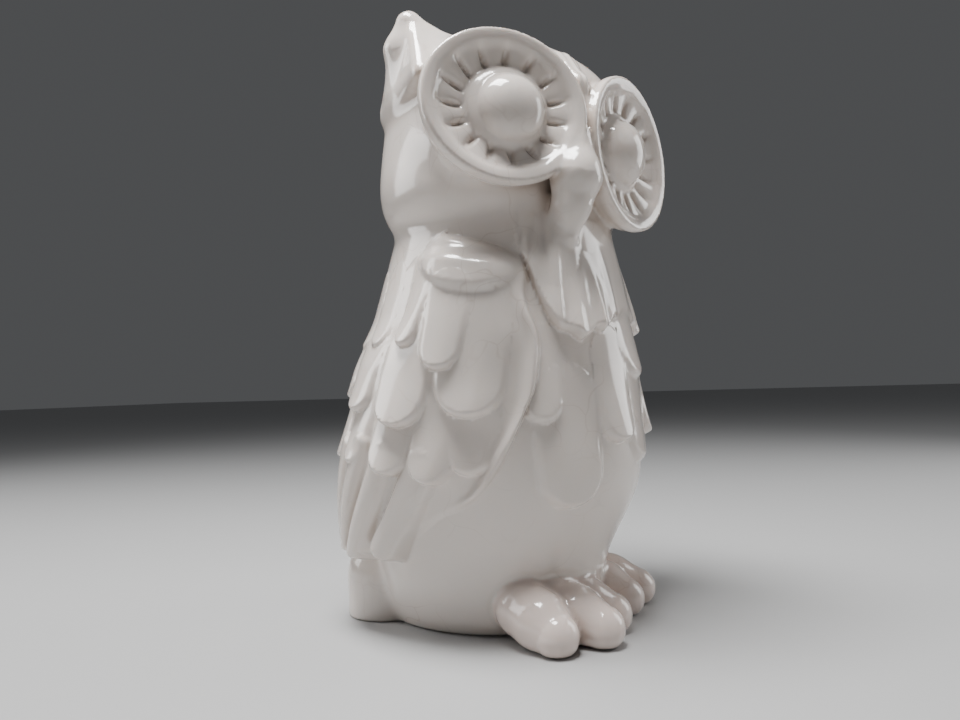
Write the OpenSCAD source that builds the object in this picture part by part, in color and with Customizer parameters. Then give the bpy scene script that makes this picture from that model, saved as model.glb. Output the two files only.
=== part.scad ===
// Owl figurine: slip-cast, glazed earthenware, standing on its base and two feet.
// The owl faces -Y, its left side is +X, and the origin is the middle of the flat base.
// Every angle "turn" below runs round the body from the front, towards the owl's left.

/* [Size] */
// Height from the table to the tips of the ear tufts
overall_h = 200; // [180:1:220]
// Thickness of the cast clay wall
wall = 4.5; // [3:0.5:6]
// Radius of the vent hole in the base
vent_r = 6; // [4:0.5:8]

/* [Pose] */
// How far the head looks round towards the owl's right
head_turn = 32; // [0:1:40]
// How far the head leans over towards the owl's left
head_tilt = 8; // [0:1:10]

/* [Eyes] */
// Width of an eye disc over its rim
disc_w = 52; // [48:0.5:54]
// Height of an eye disc over its rim
disc_h = 48; // [44:0.5:50]
// Number of pressed rays round each eye
disc_rays = 15; // [9:1:20]
// Radius of the domed eye
dome_r = 11.6; // [9:0.2:12]

/* [Wings] */
// Thickness of a wing over the body
wing_t = 6; // [4:0.5:8]
// Number of feather rows on a wing
wing_rows = 4; // [3:1:5]

/* [Feet] */
// Radius of a toe at its tip
toe_r = 6.6; // [5:0.2:7]

/* [Hidden] */

drawn_h = 196.7;            // the height that the stations below are drawn at
ground_z = 3.3;             // the height of the table in the drawing
neck_z = 130;               // the joint between body and head
pivot_z = 128;              // the head leans about this height
base_t = 6;                 // thickness of the floor of the hollow body
right = -1;
left = 1;
around = 32;                // facets round the body and head

// Body stations: [height, middle in Y, half width, half depth]
BODY = [
    [ground_z, 3.5, 27.5, 34], [6.5, 3.4, 29.5, 35.4], [12, 3, 32, 37.5], [25, 2, 36, 40],
    [45, -2, 42, 45.5], [65, -2.8, 45, 46.8], [85, -3.2, 44.5, 45.7], [100, -4, 42, 43],
    [115, -4.8, 38.5, 39.6], [neck_z, -5.4, 35, 36]
];
// Head stations, in the turned head's own frame
HEAD = [
    [119, -6, 33, 32.5], [130, -7, 36, 35], [137, -7.2, 38.5, 37], [146, -7.4, 40.5, 38.5],
    [158, -7.4, 41, 39], [170, -7.2, 39.5, 38], [180, -7, 34.5, 33.5], [186.5, -6, 23, 22],
    [189.5, -5.5, 6, 6]
];

// Eye disc: middle, outward turn, upward tilt
eye_at = [25.8, -41, 156.3];
eye_turn = 18;
eye_tilt = 4;

glaze = [0.90, 0.86, 0.80];
glaze_pink = [0.90, 0.82, 0.76];

/* ---- helpers ---- */

function mix(a, b, t) = a + (b - a) * t;
function clamp(v) = max(0, min(1, v));

// A smooth curve through the stations p, at the fractional station number s
function spline(p, s) =
    let (i = min(floor(s), len(p) - 2), t = s - i,
         a = p[max(i - 1, 0)], b = p[i], c = p[i + 1], d = p[min(i + 2, len(p) - 1)])
    0.5 * (2 * b + (c - a) * t + (2 * a - 5 * b + 4 * c - d) * t * t
           + (3 * b - a - 3 * c + d) * t * t * t);

function ring(q) =
    [for (k = [0 : around - 1]) let (turn = 360 * k / around)
        [q[2] * sin(turn), q[1] - q[3] * cos(turn), q[0]]];

// A closed skin over elliptical stations
module skin(stations, steps = 2) {
    last = (len(stations) - 1) * steps;
    rings = [for (j = [0 : last]) ring(spline(stations, j / steps))];
    points = [for (one = rings) each one];
    sides = [for (j = [0 : last - 1]) for (k = [0 : around - 1])
        let (a = j * around + k, b = j * around + (k + 1) % around)
        each [[a, a + around, b], [b, a + around, b + around]]];
    bottom = [for (k = [0 : around - 1]) k];
    top = [for (k = [around - 1 : -1 : 0]) last * around + k];
    polyhedron(points, concat(sides, [bottom, top]), convexity = 4);
}

// The clay surface that other pieces are luted onto
module body_form() { skin(BODY); }
module head_form() {
    hull() {
        turned() skin(HEAD);
        for (side = [right, left]) at_eye(side) translate([0, 0, -9]) eye_oval(disc_h / 2 - 3, 3);
    }
}
module turned() {
    rotate([0, 0, -head_turn])
        translate([0, 0, pivot_z]) rotate([0, head_tilt, 0]) translate([0, 0, -pivot_z]) children();
}
// Everything above the neck joint
module above_neck() { translate([-80, -80, neck_z]) cube([160, 160, 90]); }

// A hand-softened piece is one continuous skin
module sculpted() { resize([0, 0, 0]) children(); }

// All pieces are drawn at drawn_h over the table, then set on the origin at the asked height
module sized() { scale(overall_h / drawn_h) translate([0, 0, -ground_z]) children(); }

function column(k) = [for (q = BODY) [q[0], q[k]]];
body_y = column(1);
body_rx = column(2);
body_ry = column(3);

// The point at height z and the given turn, out by h from the body
function on_body(turn, z, h) =
    [(lookup(z, body_rx) + h) * sin(turn),
     lookup(z, body_y) - (lookup(z, body_ry) + h) * cos(turn), z];

// A pad on the body, over u (front to back) and v (bottom to top); h_at gives its thickness
module pad(nu, nv, turn_at, z_at, h_at, side, sunk = -3) {
    function grid(top) = [for (j = [0 : nv]) for (i = [0 : nu])
        let (u = i / nu, v = j / nv, z = z_at(u, v))
        on_body(side * turn_at(u, z), z, top ? h_at(u, v) : sunk)];
    n = (nu + 1) * (nv + 1);
    function at(i, j, inner) = j * (nu + 1) + i + (inner ? n : 0);
    outer = [for (j = [0 : nv - 1]) for (i = [0 : nu - 1]) each
        [[at(i, j, false), at(i, j + 1, false), at(i + 1, j, false)],
         [at(i + 1, j, false), at(i, j + 1, false), at(i + 1, j + 1, false)]]];
    inner = [for (t = outer) [t[2] + n, t[1] + n, t[0] + n]];
    ends = [for (i = [0 : nu - 1]) each
        [[at(i, 0, false), at(i + 1, 0, false), at(i + 1, 0, true), at(i, 0, true)],
         [at(i + 1, nv, false), at(i, nv, false), at(i, nv, true), at(i + 1, nv, true)]]];
    flanks = [for (j = [0 : nv - 1]) each
        [[at(0, j + 1, false), at(0, j, false), at(0, j, true), at(0, j + 1, true)],
         [at(nu, j, false), at(nu, j + 1, false), at(nu, j + 1, true), at(nu, j, true)]]];
    faces = concat(outer, inner, ends, flanks);
    // the left side runs the other way round, so its faces are turned over
    wound = side == left ? [for (face = faces) [for (k = [len(face) - 1 : -1 : 0]) face[k]]] : faces;
    polyhedron(concat(grid(true), grid(false)), wound, convexity = 6);
}

/* ---- body ---- */

vent_y = 14 * drawn_h / overall_h;

module body() {
    top = len(BODY) - 1;
    function inner(i, z) = [z, BODY[i][1], BODY[i][2] - wall, BODY[i][3] - wall];
    hollow = concat(
        [inner(0, ground_z + base_t)],
        [for (i = [2 : top - 1]) inner(i, BODY[i][0])],
        [inner(top, neck_z + 1)]
    );
    color(glaze) sized() difference() {
        body_form();
        skin(hollow, 1);
        translate([0, vent_y, ground_z - 1])
            cylinder(r = vent_r * drawn_h / overall_h, h = base_t + 2, $fn = 48);
    }
}

/* ---- head ---- */

// The head closes over the backs of the eye discs, which sit in pressed seats
module head() {
    top = len(HEAD) - 1;
    hollow = concat(
        [for (i = [0 : top - 2]) [HEAD[i][0], HEAD[i][1], HEAD[i][2] - wall, HEAD[i][3] - wall]],
        [[HEAD[top][0] - wall - 1, HEAD[top][1], 12, 12]]
    );
    color(glaze) sized() sculpted() difference() {
        intersection() {
            head_form();
            above_neck();
        }
        turned() skin(hollow, 1);
        for (side = [right, left]) eye_seat(side);
    }
}

module ear(side) {
    color(glaze) sized() sculpted() difference() {
        turned() hull() {
            translate([side * 40.6, -2.8, 193]) sphere(3, $fn = 20);
            translate([side * 38.4, 0, 184]) sphere(5.6, $fn = 24);
            translate([side * 34.5, 1, 172]) sphere(8.4, $fn = 24);
            translate([side * 22, 4, 178]) sphere(6, $fn = 24);
            translate([side * 21, -10, 179]) sphere(4, $fn = 20);
            translate([side * 38, -16, 172]) sphere(4, $fn = 20);
        }
        head_form();
        eye_seat(side);
    }
}
module right_ear() { ear(right); }
module left_ear() { ear(left); }

/* ---- eyes ---- */

module at_eye(side) {
    turned() translate([side * eye_at[0], eye_at[1], eye_at[2]])
        rotate([0, 0, side * eye_turn]) rotate([90 - eye_tilt, 0, 0]) children();
}

// Hand-set: each dome stands a little inwards of the middle of its disc
dome_in = 1.8;
dome_up = 0.6;
seat_z = -2.6;              // the flat that a dome stands on, under the rim plane
seat_r = dome_r + 1.4;

back_z = -7;                // the flat back of a disc
back_r = disc_h / 2 - 3;

module eye_oval(r, h) { scale([disc_w / disc_h, 1, 1]) cylinder(r = r, h = h, $fn = 48); }

// The space that a disc takes out of the head and the ear
module eye_seat(side) {
    at_eye(side) hull() {
        translate([0, 0, back_z]) eye_oval(back_r, 1);
        translate([0, 0, -2.5]) eye_oval(disc_h / 2, 40);
    }
}

module disc_solid(side) {
    r = disc_h / 2;
    at_eye(side) difference() {
        scale([disc_w / disc_h, 1, 1]) rotate_extrude($fn = 48) polygon([
            [0, back_z], [back_r, back_z], [back_r, back_z + 1], [r, -2.5], [r, -1.2], [r - 0.7, 0],
            [r - 2, 0.6], [r - 3.4, 0.2], [r - 5.5, -1.2], [seat_r + 2.4, seat_z], [0, seat_z]
        ]);
        for (k = [0 : disc_rays - 1]) rotate([0, 0, (k + 0.5) * 360 / disc_rays]) hull() {
            translate([seat_r + 2, 0, seat_z + 0.5]) sphere(1, $fn = 10);
            translate([r - 4.5, 0, 0.1]) sphere(1, $fn = 10);
        }
    }
}
module eye_disc(side) {
    color(glaze) sized() sculpted() difference() {
        disc_solid(side);
        if (side == left) disc_solid(right);
    }
}
module right_eye_disc() { eye_disc(right); }
module left_eye_disc() { eye_disc(left); }

// A low collar with a ball-shaped eye standing on it
module eye_dome(side) {
    rise = 8.4;
    ball = (dome_r * dome_r + rise * rise) / (2 * rise);
    color(glaze) sized() at_eye(side) translate([-side * dome_in, dome_up, seat_z]) {
        cylinder(r1 = seat_r - 0.2, r2 = dome_r, h = 1.2, $fn = 72);
        translate([0, 0, 1.2]) intersection() {
            translate([0, 0, rise - ball]) sphere(ball, $fn = 72);
            cylinder(r = dome_r + 1, h = rise + 1, $fn = 72);
        }
    }
}
module right_eye_dome() { eye_dome(right); }
module left_eye_dome() { eye_dome(left); }

module brow_solid() {
    turned() hull() {
        translate([0, -38, 178]) sphere(4, $fn = 20);
        translate([0, -44, 168]) sphere(4.5, $fn = 20);
        translate([0, -45, 152]) sphere(4.5, $fn = 20);
    }
}
module brow() {
    color(glaze) sized() sculpted() difference() {
        brow_solid();
        head_form();
        disc_solid(right);
        disc_solid(left);
    }
}

/* ---- beak ---- */

module beak_solid() {
    turned() hull() {
        translate([-1, -47, 153]) sphere(3, $fn = 20);
        translate([-1.2, -46.5, 139]) scale([1, 1, 1.4]) sphere(7.4, $fn = 28);
        translate([0, -43.5, 122.5]) sphere(2.8, $fn = 20);
    }
}
module beak() {
    color(glaze) sized() sculpted() difference() {
        beak_solid();
        head_form();
        disc_solid(right);
        disc_solid(left);
        brow_solid();
        body_form();
    }
}

/* ---- breast ---- */

// A frill of pointed locks from wing to wing under the beak
ruff_turn = 58;
ruff_locks = 5;
module ruff_solid() {
    lock = function(u) abs(sin(180 * ruff_locks * u));
    pad(40, 10,
        function(u, z) mix(-ruff_turn, ruff_turn, u),
        function(u, v) mix(102 - 9 * pow(lock(u), 0.7) - 3 * sin(180 * u), 126, v),
        function(u, v) -2.4 + (3.4 + 3.6 * lock(u))
            * pow(clamp(min(v / 0.12, (1 - v) / 0.6, u / 0.06, (1 - u) / 0.06)), 0.5),
        left);
}
module throat_ruff() {
    color(glaze) sized() sculpted() difference() {
        ruff_solid();
        body_form();
        beak_solid();
    }
}

// One rounded feather laid on the breast, thickest near its lower end
module feather(turn, z, w, h, t = 4) {
    color(glaze) sized() sculpted() difference() {
        translate(on_body(turn, z, 0)) rotate([0, 0, turn]) hull() {
            translate([0, 0, -h * 0.18]) scale([w / 2, t, h * 0.32]) sphere(1, $fn = 28);
            translate([0, 1, h * 0.22]) scale([w * 0.38, t * 0.5, h * 0.28]) sphere(1, $fn = 24);
        }
        body_form();
    }
}
module right_breast_feather() { feather(-22, 74, 16, 26); }
module left_breast_feather() { feather(22, 74, 16, 26); }
module right_flank_feather() { feather(-44, 56, 19, 27); }
module left_flank_feather() { feather(44, 56, 19, 27); }
module belly_feather() { feather(0, 66, 17, 28); }

/* ---- wings ---- */

wing_front = [[45, 78], [56, 68], [69, 58], [83, 55], [97, 55], [110, 61], [119, 70], [124, 84]];
wing_foot = [[0, 45], [0.2, 35], [0.43, 30], [1, 26]];
wing_top = [[0, 119], [0.3, 125], [0.6, 117], [0.8, 108], [1, 102]];
wing_back = 156;

// The rows overlap like tiles: each is thickest at its scalloped lower edge
function tiles(u, v) =
    let (s = v * wing_rows / 0.78, row = floor(s),
         scallop = 0.35 * abs(cos(180 * (wing_rows + 2 - row) * u + 90 * (row % 2))),
         f = s + scallop - floor(s + scallop))
    v > 0.78 ? 0 : 1.5 * (1 - f);

module wing_solid(side) {
    pad(34, 38,
        function(u, z) mix(lookup(z, wing_front), wing_back, u),
        function(u, v) mix(lookup(u, wing_foot) - 1.5 * abs(sin(900 * u)), lookup(u, wing_top), v),
        function(u, v) -2.4
            + (wing_t + 1 + 1.5 * clamp((v - 0.55) / 0.25) * clamp((0.7 - u) / 0.3) + tiles(u, v)
                + 7.5 * clamp((u - 0.3) / 0.4) * clamp((0.75 - v) / 0.5)
                + 1.2 * clamp(1 - abs(v - 0.5) / 0.4))
                * pow(clamp(min(u / 0.14, (1 - u) / 0.2, v / 0.06, (1 - v) / 0.16)), 0.5),
        side);
}
module wing(side) {
    color(glaze) sized() sculpted() difference() {
        wing_solid(side);
        body_form();
        head_form();
    }
}
module right_wing() { wing(right); }
module left_wing() { wing(left); }

/* ---- feet and tail ---- */

// [tip x, tip y, knuckle x, knuckle y] of the inner, middle and outer toe
TOES = [[9.5, -41, 13, -26], [23.5, -42, 20, -25], [34.5, -31.5, 27, -19.5]];

module toe_solids(side) {
    intersection() {
        for (t = TOES) hull() {
            translate([side * t[0], t[1], toe_r + 1.8]) sphere(toe_r, $fn = 24);
            translate([side * t[2], t[3], toe_r + 6.4]) sphere(toe_r + 2.2, $fn = 24);
        }
        translate([-60, -70, ground_z]) cube([120, 80, 40]);
    }
}
module foot(side) {
    color(glaze_pink) sized() sculpted() difference() {
        toe_solids(side);
        body_form();
    }
}
module right_foot() { foot(right); }
module left_foot() { foot(left); }

module tail() {
    color(glaze) sized() sculpted() difference() {
        hull() {
            for (s = [right, left]) {
                translate([s * 13, 37, ground_z]) cylinder(r1 = 11, r2 = 12, h = 2, $fn = 32);
                translate([s * 13, 37, 5]) cylinder(r = 12, h = 14, $fn = 32);
                translate([s * 12, 37, 23]) cylinder(r1 = 10, r2 = 8, h = 2.4, $fn = 32);
            }
        }
        body_form();
    }
}

body();
head();
right_ear();
left_ear();
right_eye_disc();
left_eye_disc();
right_eye_dome();
left_eye_dome();
brow();
beak();
throat_ruff();
right_breast_feather();
left_breast_feather();
right_flank_feather();
left_flank_feather();
belly_feather();
right_wing();
left_wing();
right_foot();
left_foot();
tail();
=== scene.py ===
"""Looks of the glazed owl figurine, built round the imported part.

The owl is modelled in millimetres as one field that is negative inside the clay, so that its features
flow into each other as they do under glaze. The field is turned into a mesh, and the mesh is cut into
one open skin for each CAD node; the cut edges meet but aren't capped. The owl faces -Y and its left
side is +X.
"""
import itertools
import math

import bpy
import numpy as np
from mathutils import Matrix, Vector


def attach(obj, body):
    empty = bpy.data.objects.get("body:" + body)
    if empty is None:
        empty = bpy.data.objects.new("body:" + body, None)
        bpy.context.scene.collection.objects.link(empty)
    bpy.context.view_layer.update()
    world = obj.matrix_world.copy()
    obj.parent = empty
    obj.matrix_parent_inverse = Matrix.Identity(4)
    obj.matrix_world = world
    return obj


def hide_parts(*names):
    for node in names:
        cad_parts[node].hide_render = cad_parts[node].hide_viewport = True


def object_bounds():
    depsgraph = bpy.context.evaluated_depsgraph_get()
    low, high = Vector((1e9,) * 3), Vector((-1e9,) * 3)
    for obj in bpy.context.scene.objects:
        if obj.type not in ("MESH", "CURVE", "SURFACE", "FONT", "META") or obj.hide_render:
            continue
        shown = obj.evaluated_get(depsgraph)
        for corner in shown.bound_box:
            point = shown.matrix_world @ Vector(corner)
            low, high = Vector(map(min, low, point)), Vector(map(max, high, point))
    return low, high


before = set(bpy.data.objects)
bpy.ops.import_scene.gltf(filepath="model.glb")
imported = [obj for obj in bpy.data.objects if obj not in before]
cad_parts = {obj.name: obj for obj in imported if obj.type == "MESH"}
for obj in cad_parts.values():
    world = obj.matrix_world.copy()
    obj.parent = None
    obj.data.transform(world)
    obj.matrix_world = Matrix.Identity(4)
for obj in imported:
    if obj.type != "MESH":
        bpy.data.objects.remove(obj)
cad_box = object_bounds()

GROUND = 3.3                   # the owl is drawn with the table at this height
DRAWN_H = 196.7                # and this tall above it
UNIT = float(cad_box[1][2] - cad_box[0][2]) / DRAWN_H   # metres to one drawn millimetre
VOXEL = 0.9
RIGHT, LEFT = -1, 1


def drawn(place):
    """A place in the row frame, in metres, as a place in the drawing."""
    return np.array(place) / UNIT + (0, 0, GROUND)


def placed(points):
    """Points of the drawing as places in the row frame, in metres."""
    return (np.array(points) - (0, 0, GROUND)) * UNIT


# ---- pose of the head and the eyes -----------------------------------------------------------

NECK_Z = 130.0                 # height of the joint between body and head
PIVOT_Z = NECK_Z - 2           # the head leans about this height
HEAD_TURN, HEAD_TILT = math.radians(32), math.radians(8)
EYE_TURN, EYE_TILT = math.radians(18), math.radians(4)


# ---- curves and blends -----------------------------------------------------------------------

def spline(xs, ys):
    """A smooth curve through the points, held level past its ends."""
    xs, ys = np.array(xs, float), np.array(ys, float)
    n, h = len(xs), np.diff(xs)
    system, bend = np.eye(n), np.zeros(n)
    for i in range(1, n - 1):
        system[i, i - 1:i + 2] = h[i - 1], 2 * (h[i - 1] + h[i]), h[i]
        bend[i] = 6 * ((ys[i + 1] - ys[i]) / h[i] - (ys[i] - ys[i - 1]) / h[i - 1])
    curve = np.linalg.solve(system, bend)

    def value(x):
        x = np.clip(x, xs[0], xs[-1])
        i = np.clip(np.searchsorted(xs, x) - 1, 0, n - 2)
        a = (xs[i + 1] - x) / h[i]
        b = 1 - a
        cubic = (a ** 3 - a) * curve[i] + (b ** 3 - b) * curve[i + 1]
        return a * ys[i] + b * ys[i + 1] + cubic * h[i] ** 2 / 6
    return value


def smin(a, b, r):
    """The smaller of two fields, with a fillet about r wide where they meet."""
    h = np.clip(0.5 + 0.5 * (b - a) / r, 0, 1)
    return b + (a - b) * h - r * h * (1 - h)


def smax(a, b, r):
    return -smin(-a, -b, r)


def step(x, low, high):
    t = np.clip((x - low) / (high - low), 0, 1)
    return t * t * (3 - 2 * t)


def bump(x, centre, width):
    return np.exp(-((x - centre) / width) ** 2)


def mix(a, b, t):
    return a + (b - a) * t


# ---- solids ----------------------------------------------------------------------------------

def ellipsoid(p, centre, radii):
    q = (p - centre) / radii
    k0 = np.sqrt((q ** 2).sum(1))
    k1 = np.sqrt(((q / radii) ** 2).sum(1))
    return k0 * (k0 - 1) / np.maximum(k1, 1e-6)


def limb(p, points, r):
    """A chain of balls joined by cones; each point is x, y, z and the ball's radius."""
    out = None
    for a, b in zip(points[:-1], points[1:]):
        a, b = np.array(a, float), np.array(b, float)
        along = b[:3] - a[:3]
        t = np.clip((p - a[:3]) @ along / (along @ along), 0, 1)
        away = p - a[:3] - t[:, None] * along
        d = np.sqrt((away ** 2).sum(1)) - mix(a[3], b[3], t)
        out = d if out is None else smin(out, d, r)
    return out


def pyramid(p, tip, base, r):
    """A solid with flat sides that fall from the tip through the base points, edges softened by r."""
    tip, base = np.array(tip, float), np.array(base, float)
    inside = base.mean(0)
    out = None
    for a, b in zip(base, np.roll(base, -1, 0)):
        normal = np.cross(a - tip, b - tip)
        normal /= np.linalg.norm(normal)
        if (inside - tip) @ normal > 0:
            normal = -normal
        d = (p - tip) @ normal
        out = d if out is None else smax(out, d, r)
    return out


# ---- body ------------------------------------------------------------------------------------

# height, middle in Y, half width, half depth
BODY = np.array([
    (0, 3.5, 24, 31), (4, 3.5, 28, 34.5), (12, 3, 32, 37.5), (25, 2, 36, 40), (45, -2, 42, 45.5),
    (65, -2.8, 45, 46.8), (85, -3.2, 44.5, 45.7), (100, -4, 42, 43), (115, -4.8, 38.5, 39.6),
    (130, -5.4, 35, 36), (150, -6, 30, 31)
])
body_y, body_rx, body_ry = (spline(BODY[:, 0], BODY[:, k]) for k in (1, 2, 3))
ARC = 0.8                      # millimetres of skin per degree of turn


def body_field(p):
    """The plain body, and each point's turn from the front in degrees, the same for both sides."""
    z = p[:, 2]
    cy, rx, ry = body_y(z), body_rx(z), body_ry(z)
    x, y = p[:, 0], p[:, 1] - cy
    k = np.sqrt((x / rx) ** 2 + (y / ry) ** 2)
    fall = np.sqrt((x / rx ** 2) ** 2 + (y / ry ** 2) ** 2)
    d = (k - 1) * k / np.maximum(fall, 1e-6)
    turn = np.degrees(np.arctan2(np.abs(x), -y))
    return d, turn


# ---- relief on the body ----------------------------------------------------------------------

def tongue(turn, z, root, tip, half, low, high, edge=2.2, crown=0.45):
    """A rounded feather laid on the skin: how high it stands, and how far a point is inside its outline.
    root and tip are (turn, height); it swells from low at the root to high near the tip."""
    ax, az = (root[0] - tip[0]) * ARC, root[1] - tip[1]
    length = math.hypot(ax, az)
    ux, uz = ax / length, az / length
    x, y = (turn - tip[0]) * ARC, z - tip[1]
    along = x * ux + y * uz
    side = -x * uz + y * ux
    near = np.clip(along, half, length)
    inside = half - np.hypot(side, along - near)
    t = np.clip(along / length, 0, 1)
    height = mix(low, high, (1 - t) ** 1.5) * (1 - crown * np.clip(side / half, -1, 1) ** 2)
    u = np.clip(inside / edge, 0, 1)
    return np.where(inside > 0, height * (1 - (1 - u) ** 2), inside * 1.2), inside


# Each feather: root and tip as (turn, height), half width, how high it stands at the root and the tip
WING_FEATHERS = [
    ((152, 64), (156, 33), 4.6, 1.6, 2.8), ((139, 62), (150, 28.5), 3.9, 2.2, 3.6),
    ((126, 63), (143, 26), 3.9, 2.4, 4.2), ((113, 61), (135, 25), 4.3, 2.4, 4.4),
    ((97, 57), (119, 26.5), 6.0, 2.2, 4.6),
    ((143, 80), (146, 57), 6.0, 0.1, 3.4), ((126, 78), (131, 56), 6.0, 0.1, 3.8),
    ((107, 74), (113, 53.5), 7.8, 0.3, 5.2), ((90, 71), (96, 51), 7.6, 0.3, 5.0),
    ((76, 70), (82, 54), 6.6, 0.2, 3.2),
    ((151, 96), (152, 76), 7.4, 0.1, 2.8), ((128, 94), (132, 72), 7.8, 0.1, 3.8),
    ((103, 92), (108, 67.5), 9.8, 0.1, 5.0), ((77, 98), (80, 70), 10.4, 0.1, 3.8),
    ((144, 110), (144, 92), 7.2, 0.1, 1.2), ((125, 112), (127, 92), 6.8, 0.1, 1.5),
    ((102, 112), (107, 91), 5.6, 0.1, 3.4), ((87, 106), (90, 83.5), 7.0, 0.1, 4.2),
]
BREAST_FEATHERS = {
    "breast": ((22, 88), (20, 61), 8.2, 0.0, 4.8),
    "flank": ((44, 74), (41, 43), 10.8, 0.0, 4.8),
}
BELLY_FEATHERS = [((0, 100), (0, 80), 12, 0.0, 2.4), ((0, 84), (0, 54), 10.0, 0.0, 2.2)]
FAINT_FEATHER = ((53, 90), (53, 68), 6.5, 0.0, 2.6)
# turn of the ruff's ends, its lobed lower edge, and how far it stands out
RUFF_REACH = 62
ruff_foot = spline([0, 8, 14, 20, 26, 31, 37, 42, 47, 52, 57, 62],
                   [101, 100, 98, 97.5, 94, 94.6, 91.5, 93.6, 95, 101, 111, 121])
ruff_rise = spline([0, 14, 24, 36, 47, 57], [1.2, 1.6, 4.0, 5.4, 4.4, 2.6])

# the wing's outline: the turn of its front edge by height, and its foot and top by turn
wing_front = spline([30, 38, 44.5, 55.5, 69, 83, 95, 106, 120, 125],
                    [101, 90, 78, 68, 58, 54, 54, 58, 70, 95])
wing_foot = spline([55, 66, 79, 90, 111, 133, 146, 165], [80, 60, 46, 42, 31, 26, 26, 30])
wing_top = spline([55, 75, 100, 120, 140, 170], [123, 125.5, 125, 114, 104, 100])


def wing_relief(turn, z):
    """How high the wing stands: a raised leading edge, a round shoulder and rows of feathers."""
    front = wing_front(z)
    slope = (wing_front(z + 1) - wing_front(z - 1)) * ARC / 2
    inward = (turn - front) * ARC / np.sqrt(1 + slope ** 2)
    below_top = wing_top(turn) - z
    above_foot = (z - wing_foot(turn)) * 0.85
    inside = np.minimum(np.minimum(inward, below_top), above_foot)
    relief = np.zeros_like(z)
    for root, tip, half, low, high in WING_FEATHERS:
        one, within = tongue(turn, z, root, tip, half, low, high)
        relief = smax(relief, one, 0.5)
        inside = np.maximum(inside, within)
    mass = 0.9 + 1.6 * step(inward, 4, 18) * step(z, 30, 60)
    # the round shoulder
    mass += 3.0 * step(z, 78, 104) * step(inward, 0, 12) * step(-turn, -112, -92)
    # the ends of the long feathers stand off the body at the back
    mass += 6.4 * step(turn, 96, 140) * step(-z, -84, -34) * step(-turn, -176, -150)
    # the wing thins towards the top of the back
    mass -= 2.6 * step(turn, 92, 120) * step(z, 84, 104)
    # under the crest of the shoulder the wing falls away in a lip
    lip = 107.5 + 0.012 * (turn - 78) ** 2
    crest = step(z - lip, -2.6, 1.6) * step(turn, 60, 74) * step(-turn, -114, -86)
    mass += 2.2 * crest
    rim = 2.5 * bump(inward, 2.4, 2.1) * step(z, 38, 54) * step(-z, -116, -96)
    height = (mass + relief + rim) * (1 - (1 - np.clip(inside / 2.6, 0, 1)) ** 2.2)
    return np.where(inside > 0, height, inside * 1.2)


def ruff_relief(turn, z):
    """The frill under the beak: one tuft with combed strands, fullest over its lobed lower edge."""
    inside = np.minimum(z - ruff_foot(turn), (RUFF_REACH - turn) * ARC)
    up = np.clip(inside / 24, 0, 1)
    full = ruff_rise(turn) * (1 - 0.75 * up) * mix(1, step(-z, -127, -112), step(turn, 40, 52))
    comb = 0.8 * np.cos(np.radians(turn + 0.16 * (z - 92)) * 36) + 0.25 * np.cos(np.radians(turn) * 61 + 1)
    full = full + comb * np.clip(1.4 - up * 1.5, 0, 1) * step(turn, 10, 24) * 0.8
    u = np.clip(inside / 3.0, 0, 1)
    return np.where(inside > 0, full * (1 - (1 - u) ** 2.4), inside * 1.2)


# ---- head ------------------------------------------------------------------------------------

def to_head(p):
    """Points in the turned and tilted head's own frame."""
    c, s = math.cos(HEAD_TURN), math.sin(HEAD_TURN)
    x, y = p[:, 0] * c - p[:, 1] * s, p[:, 0] * s + p[:, 1] * c
    z = p[:, 2] - PIVOT_Z
    c, s = math.cos(HEAD_TILT), math.sin(HEAD_TILT)
    return np.stack([x * c - z * s, y, x * s + z * c + PIVOT_Z], 1)


SKULL = np.array([0, -4.5, 155.0])
SKULL_R = np.array([40.0, 35.5, 34.0])
EYE = np.array([25.5, -41, 156.3])
DISC_W = 25.2                  # half width of a disc
DISC_H = {RIGHT: 23.3, LEFT: 24.6}
RAYS = 15


def skull_field(q):
    a = np.abs((q - SKULL) / SKULL_R)
    flat = (a[:, 0] ** 2.3 + a[:, 1] ** 2.3) ** (3.8 / 2.3)
    return ((flat + a[:, 2] ** 3.8) ** (1 / 3.8) - 1) * 38


def to_eye(q, side):
    """Points in an eye's frame: x outwards along the disc, y up it, z out of the face."""
    v = q - EYE * (side, 1, 1)
    c, s = math.cos(EYE_TURN), math.sin(EYE_TURN) * side
    x, y = v[:, 0] * c + v[:, 1] * s, -v[:, 0] * s + v[:, 1] * c
    c, s = math.sin(EYE_TILT), math.cos(EYE_TILT)
    return np.stack([x * side, y * c + v[:, 2] * s, -y * s + v[:, 2] * c], 1)


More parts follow.
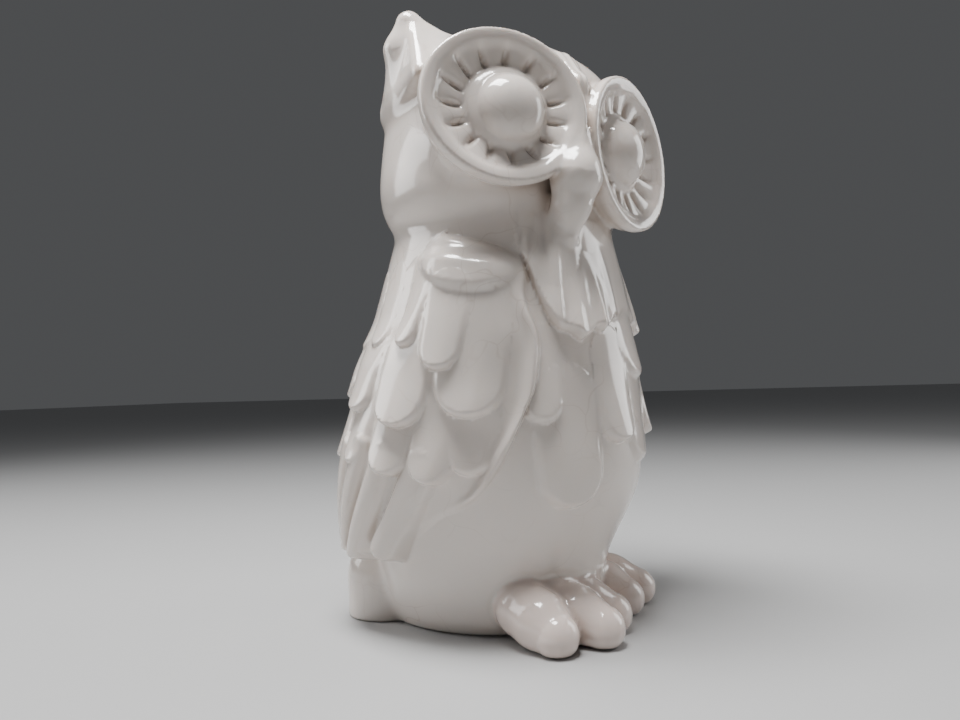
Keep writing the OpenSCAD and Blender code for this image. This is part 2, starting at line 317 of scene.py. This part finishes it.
def eye_fields(q, side):
    """The dished disc with its pressed rays, and the domed eye on its collar."""
    e = to_eye(q, side)
    tall = DISC_H[side]
    x, y, h = e[:, 0] * tall / DISC_W, e[:, 1], e[:, 2]
    rho = np.sqrt(x ** 2 + y ** 2)
    around = np.arctan2(y, x)
    # the face of the disc dips to its middle and carries grooves with soft petals between them
    dish = -4.8 + 4.2 * np.clip(rho / (tall - 3), 0, 1.2) ** 2.4
    phase = around * RAYS / (2 * math.pi) + 0.3
    off = (phase - np.round(phase)) * 2 * math.pi / RAYS * rho
    length = tall * (0.86 + 0.04 * np.sin(around))
    ray = bump(off, 0, 0.85) * step(rho, 10, 13.5) * step(-rho, -length, -length + 5)
    petal = 0.18 * np.cos(phase * 2 * math.pi + math.pi)
    front = h - (dish - 1.4 * ray + petal * step(rho, 10, 14) * step(-rho, -tall + 1, -tall + 5))
    # the plate is cut off behind and rounded over at its rim
    back = -h - 7.0 - 0.10 * (tall - rho)
    wall = rho - tall + 0.12 * np.maximum(-h, 0)
    plate = smax(smax(front, wall, 1.8), back, 2.0)
    rim = np.sqrt((rho - tall + 2.1) ** 2 + (h + 2.0) ** 2) - 2.1
    disc = smin(plate, rim, 1.6)
    # the eye stands a little inwards of the middle, on a low collar
    collar = ellipsoid(e, (-1.4, 0.9, -4.6), (13.2, 13.2, 4.6))
    ball = ellipsoid(e, (-2.2, 0.2, -3.6), (10.6, 10.6, 8.0))
    bowl = smax(rho - tall + 1.5, -h - 7.5, 2)
    return disc, smin(collar, ball, 0.5), bowl


def ear_field(q, side):
    """A pointed tuft, flat towards the front and rounded on its outer side."""
    mirror = np.array([side, 1, 1])
    tip = np.array([40.8, -3, 196.6]) * mirror
    base = [np.array(b) * mirror for b in ((45, -20, 170), (19, -14, 186), (22, 10, 184), (39, 10, 176))]
    body = pyramid(q, tip, base, 4.0)
    floor = np.array([0.5 * side, 0.1, 0.86])
    body = smax(body, (q - np.array([32 * side, -6, 169])) @ -floor, 6.0)
    outer = limb(q, [(side * 40.6, -2.5, 191.0, 3.0), (side * 39.4, 0, 183, 5.8),
                     (side * 34, 1, 173, 8.6)], 2)
    return smin(body, outer, 4.0)


def brow_field(q):
    ridge = limb(q, [(0, -33, 179, 4.4), (0, -40.5, 170, 4.0), (0.5, -42.5, 158, 3.2)], 2)
    return ridge + 0.22 * np.sin(q[:, 0] * 2.2 + 0.2 * q[:, 2])


def beak_field(q):
    return limb(q, [(-1, -47, 153, 2.2), (-1.8, -46, 140, 7.2), (-1.6, -44.5, 131, 5.4),
                    (-1, -43.5, 122.5, 2.8)], 3)


def chin_hollow(q):
    """The recess that the beak stands in, between the cheeks."""
    return ellipsoid(q, (0, -50, 139), (13, 12.5, 22))


# ---- feet and tail ---------------------------------------------------------------------------

# tip x, tip y, knuckle x and knuckle y of the left foot's inner, middle and outer toe
TOES = [(9.5, -41, 13, -26), (23.5, -42, 20, -25), (34.5, -31.5, 27, -19.5)]


def foot_field(p, side):
    """Three plump toes that swell from tip to knuckle."""
    out = None
    for tx, ty, kx, ky in TOES:
        one = limb(p, [(side * tx, ty, 8.4, 6.6), (side * mix(tx, kx, .5), mix(ty, ky, .5), 11.0, 8.2),
                       (side * kx, ky, 13.0, 8.8)], 2)
        out = one if out is None else smin(out, one, 1.2)
    return out


def tail_field(p):
    """The short, blunt prop behind the base."""
    q = np.abs(p - (0, 36, 8))
    box = q - (13, 0.5, 9)
    out = np.sqrt((np.maximum(box, 0) ** 2).sum(1)) + np.minimum(box.max(1), 0)
    return out - 12


# ---- the whole owl ---------------------------------------------------------------------------

VENT_Y, VENT_R, VENT_TOP = 14, 6, 24   # the vent hole in the base, and how far up it runs

def piece_fields(p):
    """The field of every piece on its own, then what the whole owl needs beside them."""
    out, bowls = {}, []
    z = p[:, 2]
    base, turn = body_field(p)
    base = smax(base, z - NECK_Z - 6, 2)
    left = p[:, 0] > 0
    out["body"] = base
    wing = wing_relief(turn, z)
    out["throat_ruff"] = smax(base - ruff_relief(turn, z), z - NECK_Z, 2)
    for side, name in ((RIGHT, "right"), (LEFT, "left")):
        here = left == (side == LEFT)
        out[name + "_wing"] = np.where(here, base - wing, base + 6)
        for kind, (root, tip, half, low, high) in BREAST_FEATHERS.items():
            height, _ = tongue(turn, z, root, tip, half, low, high, 2.4)
            out[f"{name}_{kind}_feather"] = np.where(here, base - height, base + 6)
    belly = np.full_like(z, -6.0)
    for root, tip, half, low, high in BELLY_FEATHERS:
        belly = smax(belly, tongue(turn, z, root, tip, half, low, high, 3.0)[0], 0.8)
    out["belly_feather"] = base - belly
    q = to_head(p)
    out["head"] = skull_field(q)
    for side, name in ((RIGHT, "right"), (LEFT, "left")):
        disc, dome, bowl = eye_fields(q, side)
        out[name + "_eye_disc"], out[name + "_eye_dome"] = disc, dome
        bowls.append(bowl)
        out[name + "_ear"] = ear_field(q, side)
        out[name + "_foot"] = foot_field(p, side)
    out["brow"] = brow_field(q)
    out["beak"] = beak_field(q)
    out["tail"] = tail_field(p)
    return out, base, turn, q, np.minimum(*bowls)


def owl_field(p):
    """The whole glazed owl as one field."""
    f, base, turn, q, bowls = piece_fields(p)
    z = p[:, 2]
    faint, _ = tongue(turn, z, *FAINT_FEATHER, 2.4)
    torso = smin(f["body"], base - faint, 0.6)
    for name in ("throat_ruff", "belly_feather", "right_breast_feather", "left_breast_feather",
                 "right_flank_feather", "left_flank_feather", "right_wing", "left_wing"):
        torso = smin(torso, f[name], 0.9)
    head = f["head"]
    for side in (RIGHT, LEFT):
        # the cheek runs out to the back of the disc
        cheek = limb(q, [(side * 14, -12, 154, 26), (side * 24.5, -31, 154.5, 18.5)], 2)
        head = smin(head, cheek, 4)
    for name in ("right_ear", "left_ear"):
        head = smin(head, f[name], 5.0)
    head = smax(head, -chin_hollow(q), 6.0)
    head = smax(head, -bowls, 1.5)
    for name in ("right_eye_disc", "left_eye_disc"):
        head = smin(head, f[name], 1.8)
    head = smin(head, f["brow"], 2.0)
    head = smin(head, f["beak"], 1.2)
    for name in ("right_eye_dome", "left_eye_dome"):
        head = smin(head, f[name], 0.8)
    out = smin(torso, head, 3.0)
    for name in ("right_foot", "left_foot"):
        out = smin(out, f[name], 2.4)
    out = smin(out, f["tail"], 3.0)
    hole = np.hypot(p[:, 0], p[:, 1] - VENT_Y) - VENT_R
    out = smax(out, -smax(hole, z - VENT_TOP, 2), 1.0)
    return smax(out, GROUND - z, 1.2)


# ---- mesh ------------------------------------------------------------------------------------

CHUNK = 150000


def sample(points, function=owl_field):
    out = np.empty(len(points), np.float64)
    for i in range(0, len(points), CHUNK):
        out[i:i + CHUNK] = function(points[i:i + CHUNK])
    return out


def sampled_grid(low, high, voxel, block=4, near=4.5):
    """The field on a grid; only blocks close to the surface are worked out in full."""
    blocks = np.ceil((high - low) / (voxel * block)).astype(int)
    axes = [low[k] + voxel * block * np.arange(blocks[k] + 1) for k in range(3)]
    corners = np.stack(np.meshgrid(*axes, indexing="ij"), -1)
    rough = sample(corners.reshape(-1, 3)).reshape(corners.shape[:3])
    closest = np.full(blocks, 1e9)
    low_side = np.full(blocks, 1e9)
    high_side = np.full(blocks, -1e9)
    for i, j, k in itertools.product((0, 1), repeat=3):
        part = rough[i:i + blocks[0], j:j + blocks[1], k:k + blocks[2]]
        closest = np.minimum(closest, np.abs(part))
        low_side, high_side = np.minimum(low_side, part), np.maximum(high_side, part)
    active = (closest < near) | (low_side * high_side < 0)
    size = blocks * block + 1
    wanted = np.zeros(size, bool)
    fine = active.repeat(block, 0).repeat(block, 1).repeat(block, 2)
    for i, j, k in itertools.product((0, 1), repeat=3):
        wanted[i:i + fine.shape[0], j:j + fine.shape[1], k:k + fine.shape[2]] |= fine
    far = rough[:-1, :-1, :-1].repeat(block, 0).repeat(block, 1).repeat(block, 2)
    grid = np.ones(size) * near
    grid[:-1, :-1, :-1] = np.where(far < 0, -near, near)
    index = np.argwhere(wanted)
    grid[wanted] = sample(low + index * voxel)
    return grid


def surface_nets(grid, low, voxel):
    """Vertices and quads of the surface where the grid changes sign."""
    n = np.array(grid.shape) - 1
    inside = grid < 0
    offsets = list(itertools.product((0, 1), repeat=3))

    def corner(a, o):
        return a[o[0]:o[0] + n[0], o[1]:o[1] + n[1], o[2]:o[2] + n[2]]
    count = sum(corner(inside, o).astype(np.int8) for o in offsets)
    mixed = (count > 0) & (count < 8)
    cells = np.argwhere(mixed)
    number = np.full(mixed.shape, -1, np.int64)
    number[mixed] = np.arange(len(cells))
    total, crossings = np.zeros((len(cells), 3)), np.zeros(len(cells))
    for o in offsets:
        for axis in range(3):
            if o[axis]:
                continue
            o2 = tuple(1 if k == axis else o[k] for k in range(3))
            a, b = corner(grid, o)[mixed], corner(grid, o2)[mixed]
            cut = (a < 0) != (b < 0)
            t = np.where(cut, a / np.where(cut, a - b, 1), 0)
            point = np.tile(np.array(o, float), (len(cells), 1))
            point[:, axis] += t
            total[cut] += point[cut]
            crossings += cut
    points = low + (cells + total / crossings[:, None]) * voxel
    quads = []
    for axis in range(3):
        b, c = (axis + 1) % 3, (axis + 2) % 3
        first = [slice(None)] * 3
        second = [slice(None)] * 3
        first[axis], second[axis] = slice(0, -1), slice(1, None)
        start, end = inside[tuple(first)], inside[tuple(second)]
        edges = np.argwhere(start != end)
        edges = edges[(edges[:, b] > 0) & (edges[:, c] > 0) & (edges[:, b] < n[b]) & (edges[:, c] < n[c])]
        around = []
        for db, dc in ((-1, -1), (0, -1), (0, 0), (-1, 0)):
            cell = edges.copy()
            cell[:, b] += db
            cell[:, c] += dc
            around.append(number[tuple(cell.T)])
        quad = np.stack(around, 1)
        flip = ~start[tuple(edges.T)]
        quad[flip] = quad[flip][:, ::-1]
        quads.append(quad)
    return points, np.concatenate(quads)


def gradient(points, reach=0.04):
    out = np.empty_like(points)
    for axis in range(3):
        shift = np.zeros(3)
        shift[axis] = reach
        out[:, axis] = (sample(points + shift) - sample(points - shift)) / (2 * reach)
    return out


def settle(points, rounds=3):
    """Moves points onto the surface along the field's slope."""
    for _ in range(rounds):
        slope = gradient(points)
        steep = np.maximum((slope ** 2).sum(1), 0.2)
        move = sample(points) / steep
        points = points - np.clip(move, -0.6, 0.6)[:, None] * slope
    return points


def owners(points, names):
    """The number of the piece that each point belongs to."""
    def nearest(p):
        f = piece_fields(p)[0]
        stack = np.stack([f[n] for n in names], 1)
        bonus = np.array([0.0 if n in ("body", "head") else 0.35 for n in names])
        return (stack - bonus).argmin(1)
    out = np.empty(len(points), int)
    for i in range(0, len(points), CHUNK):
        out[i:i + CHUNK] = nearest(points[i:i + CHUNK])
    return out


def build_owl():
    names = sorted(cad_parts)
    low = drawn(cad_box[0]) - 3
    high = drawn(cad_box[1]) + 3
    grid = sampled_grid(low, high, VOXEL)
    points, quads = surface_nets(grid, low, VOXEL)
    points = settle(points)
    normals = gradient(points)
    normals /= np.linalg.norm(normals, axis=1)[:, None]
    # how far each point lies inside a hollow (3 mm reach) or a tight crease (1.2 mm reach); the glaze uses
    # these for painted shade
    hollow_shade = np.clip(1 - sample(points + normals * 3) / 3, 0, 1)
    crease_shade = np.clip(1 - sample(points + normals * 1.2) / 1.2, 0, 1)
    owner = owners(points[quads].mean(1), names)
    made = {}
    for number, name in enumerate(names):
        mine = quads[owner == number]
        used, local = np.unique(mine, return_inverse=True)
        if len(used) == 0:
            print("no surface for", name)
            continue
        local = local.reshape(mine.shape)
        mesh = bpy.data.meshes.new(name + "_skin")
        mesh.vertices.add(len(used))
        mesh.vertices.foreach_set("co", placed(points[used]).astype(np.float32).ravel())
        mesh.loops.add(local.size)
        mesh.loops.foreach_set("vertex_index", local.astype(np.int32).ravel())
        mesh.polygons.add(len(local))
        mesh.polygons.foreach_set("loop_start", np.arange(0, local.size, 4, dtype=np.int32))
        mesh.polygons.foreach_set("use_smooth", np.ones(len(local), bool))
        mesh.update(calc_edges=True)
        mesh.validate()
        # the hollow and crease measures, kept on the mesh for the glaze's painted shade
        for key, values in (("hollow_shade", hollow_shade), ("crease_shade", crease_shade)):
            attribute = mesh.attributes.new(key, "FLOAT", "POINT")
            attribute.data.foreach_set("value", values[used].astype(np.float32))
        mesh.normals_split_custom_set_from_vertices(normals[used].tolist())
        piece = bpy.data.objects.new(name + "_glazed", mesh)
        bpy.context.scene.collection.objects.link(piece)
        made[name] = piece
    return made


# ---- materials -------------------------------------------------------------------------------

def glaze_material(name, base, shade_and_crack_colour, thin):
    """Glossy crackled glaze over a pale body, with painted shade darkening the hollows and the tight
    creases, and lighter patches at random.
    """
    material = bpy.data.materials.new(name)
    material.use_nodes = True
    nodes, links = material.node_tree.nodes, material.node_tree.links
    shader = nodes["Principled BSDF"]
    place = nodes.new("ShaderNodeTexCoord").outputs["Object"]

    def noise(scale, detail=3):
        node = nodes.new("ShaderNodeTexNoise")
        node.inputs["Scale"].default_value = scale
        node.inputs["Detail"].default_value = detail
        links.new(place, node.inputs["Vector"])
        return node.outputs["Fac"]

    def attribute(key):
        node = nodes.new("ShaderNodeAttribute")
        node.attribute_name = key
        return node.outputs["Fac"]

    def math_node(kind, a, b):
        node = nodes.new("ShaderNodeMath")
        node.operation = kind
        for socket, value in zip(node.inputs, (a, b)):
            if hasattr(value, "is_output"):
                links.new(value, socket)
            else:
                socket.default_value = value
        return node.outputs[0]

    def ramp(value, low, high, to_low=0.0, to_high=1.0):
        node = nodes.new("ShaderNodeMapRange")
        for key, number in (("From Min", low), ("From Max", high), ("To Min", to_low), ("To Max", to_high)):
            node.inputs[key].default_value = number
        links.new(value, node.inputs["Value"])
        return node.outputs["Result"]

    def blend(a, b, amount):
        node = nodes.new("ShaderNodeMix")
        node.data_type = "RGBA"
        for socket, value in ((node.inputs[6], a), (node.inputs[7], b)):
            if hasattr(value, "is_output"):
                links.new(value, socket)
            else:
                socket.default_value = (*value, 1)
        links.new(amount, node.inputs[0])
        return node.outputs[2]

    cracks = nodes.new("ShaderNodeTexVoronoi")
    cracks.feature = "DISTANCE_TO_EDGE"
    cracks.inputs["Scale"].default_value = 62
    bent = nodes.new("ShaderNodeMix")
    bent.data_type = "VECTOR"
    bent.inputs[0].default_value = 0.035
    warp = nodes.new("ShaderNodeTexNoise")
    warp.inputs["Scale"].default_value = 40
    links.new(place, warp.inputs["Vector"])
    links.new(place, bent.inputs[4])
    links.new(warp.outputs["Color"], bent.inputs[5])
    links.new(bent.outputs[1], cracks.inputs["Vector"])
    line = ramp(cracks.outputs["Distance"], 0.0, 0.02, 1.0, 0.0)
    patchy = ramp(noise(28), 0.45, 0.62)
    line = math_node("MULTIPLY", line, patchy)

    # painted shade: the glaze darkens towards the shade colour where the surface lies in a hollow
    hollow_shade_amount = ramp(attribute("hollow_shade"), 0.12, 0.75, 0.0, 0.7)
    colour = blend(base, shade_and_crack_colour, hollow_shade_amount)
    colour = blend(colour, thin, ramp(noise(22, 4), 0.48, 0.72, 0.0, 0.5))
    colour = blend(colour, shade_and_crack_colour, math_node("MULTIPLY", line, 0.35))
    # painted shade: dark brown blended into the tightest creases, such as under feather tips
    colour = blend(colour, (0.30, 0.22, 0.17), ramp(attribute("crease_shade"), 0.35, 1.0, 0.0, 0.5))
    links.new(colour, shader.inputs["Base Color"])
    rough = ramp(noise(60, 3), 0.3, 0.7, 0.10, 0.17)
    links.new(rough, shader.inputs["Roughness"])
    shader.inputs["IOR"].default_value = 1.55
    shader.inputs["Coat Weight"].default_value = 0.35
    shader.inputs["Coat Roughness"].default_value = 0.03
    shader.inputs["Subsurface Weight"].default_value = 0.12
    shader.inputs["Subsurface Radius"].default_value = (1.0, 0.7, 0.5)
    shader.inputs["Subsurface Scale"].default_value = 0.002

    waves = noise(55, 2)
    bump_node = nodes.new("ShaderNodeBump")
    bump_node.inputs["Strength"].default_value = 0.12
    bump_node.inputs["Distance"].default_value = 0.0006
    links.new(math_node("SUBTRACT", waves, math_node("MULTIPLY", line, 0.15)), bump_node.inputs["Height"])
    links.new(bump_node.outputs["Normal"], shader.inputs["Normal"])
    return material


# the third colour is the painted shade for the hollows, and it also colours the crackle lines
GLAZE = glaze_material("cream_glaze", (0.76, 0.69, 0.635), (0.50, 0.405, 0.335), (0.81, 0.72, 0.66))
PINK_GLAZE = glaze_material("pinkish_glaze", (0.79, 0.67, 0.61), (0.55, 0.41, 0.34), (0.84, 0.73, 0.67))

for node, piece in build_owl().items():
    foot = node.endswith("foot")
    piece.data.materials.append(PINK_GLAZE if foot else GLAZE)
    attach(piece, "root")
    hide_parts(node)


# ---- floor, light and camera -----------------------------------------------------------------

def plain_material(name, colour, roughness):
    material = bpy.data.materials.new(name)
    material.use_nodes = True
    shader = material.node_tree.nodes["Principled BSDF"]
    shader.inputs["Base Color"].default_value = (*colour, 1)
    shader.inputs["Roughness"].default_value = roughness
    return material


def make_floor():
    reach = 6.0
    mesh = bpy.data.meshes.new("floor")
    corners = [(-reach, -reach, 0), (reach, -reach, 0), (reach, reach, 0), (-reach, reach, 0)]
    mesh.from_pydata(corners, [], [(0, 1, 2, 3)])
    floor = bpy.data.objects.new("floor", mesh)
    floor.data.materials.append(plain_material("pale_floor", (0.44, 0.44, 0.44), 0.6))
    bpy.context.scene.collection.objects.link(floor)


def area_light(name, place, target, size, power):
    light = bpy.data.lights.new(name, "AREA")
    light.shape = "RECTANGLE"
    light.size, light.size_y = size
    light.energy = power
    lamp = bpy.data.objects.new(name, light)
    lamp.location = place
    lamp.rotation_euler = (Vector(target) - Vector(place)).to_track_quat("-Z", "Y").to_euler()
    bpy.context.scene.collection.objects.link(lamp)


def make_lights():
    aim = (0, 0, 0.11)
    area_light("overhead", (-0.10, 0.04, 0.60), aim, (0.28, 0.18), 7.5)
    area_light("back_left", (-0.16, 0.66, 0.40), aim, (0.35, 0.5), 2.6)
    area_light("right_side", (0.42, -0.52, 0.30), aim, (0.3, 0.5), 2.2)
    world = bpy.data.worlds.new("studio")
    world.use_nodes = True
    world.node_tree.nodes["Background"].inputs["Color"].default_value = (0.80, 0.82, 0.85, 1)
    world.node_tree.nodes["Background"].inputs["Strength"].default_value = 0.10
    bpy.context.scene.world = world


CAMERA_PLACE = Vector(placed((-242.1, -98.8, 79.0)))
CAMERA_HEADING = math.radians(67)   # from +Y towards +X
CAMERA_PITCH = math.radians(2)      # upwards
CAMERA_ROLL = math.radians(-1.7)
FOCAL = 765 / 960                   # focal length as a share of the picture's width


def make_camera():
    forward = Vector((math.cos(CAMERA_PITCH) * math.sin(CAMERA_HEADING),
                      math.cos(CAMERA_PITCH) * math.cos(CAMERA_HEADING), math.sin(CAMERA_PITCH)))
    level = Vector((math.cos(CAMERA_HEADING), -math.sin(CAMERA_HEADING), 0))
    up = level.cross(forward)
    right = level * math.cos(CAMERA_ROLL) + up * math.sin(CAMERA_ROLL)
    up = up * math.cos(CAMERA_ROLL) - level * math.sin(CAMERA_ROLL)
    data = bpy.data.cameras.new("camera")
    data.sensor_width = 36
    data.lens = FOCAL * data.sensor_width
    data.clip_start = 0.01
    camera = bpy.data.objects.new("camera", data)
    turn = Matrix((right, up, -forward)).transposed().to_4x4()
    camera.matrix_world = Matrix.Translation(CAMERA_PLACE) @ turn
    bpy.context.scene.collection.objects.link(camera)
    bpy.context.scene.camera = camera


make_floor()
make_lights()
make_camera()
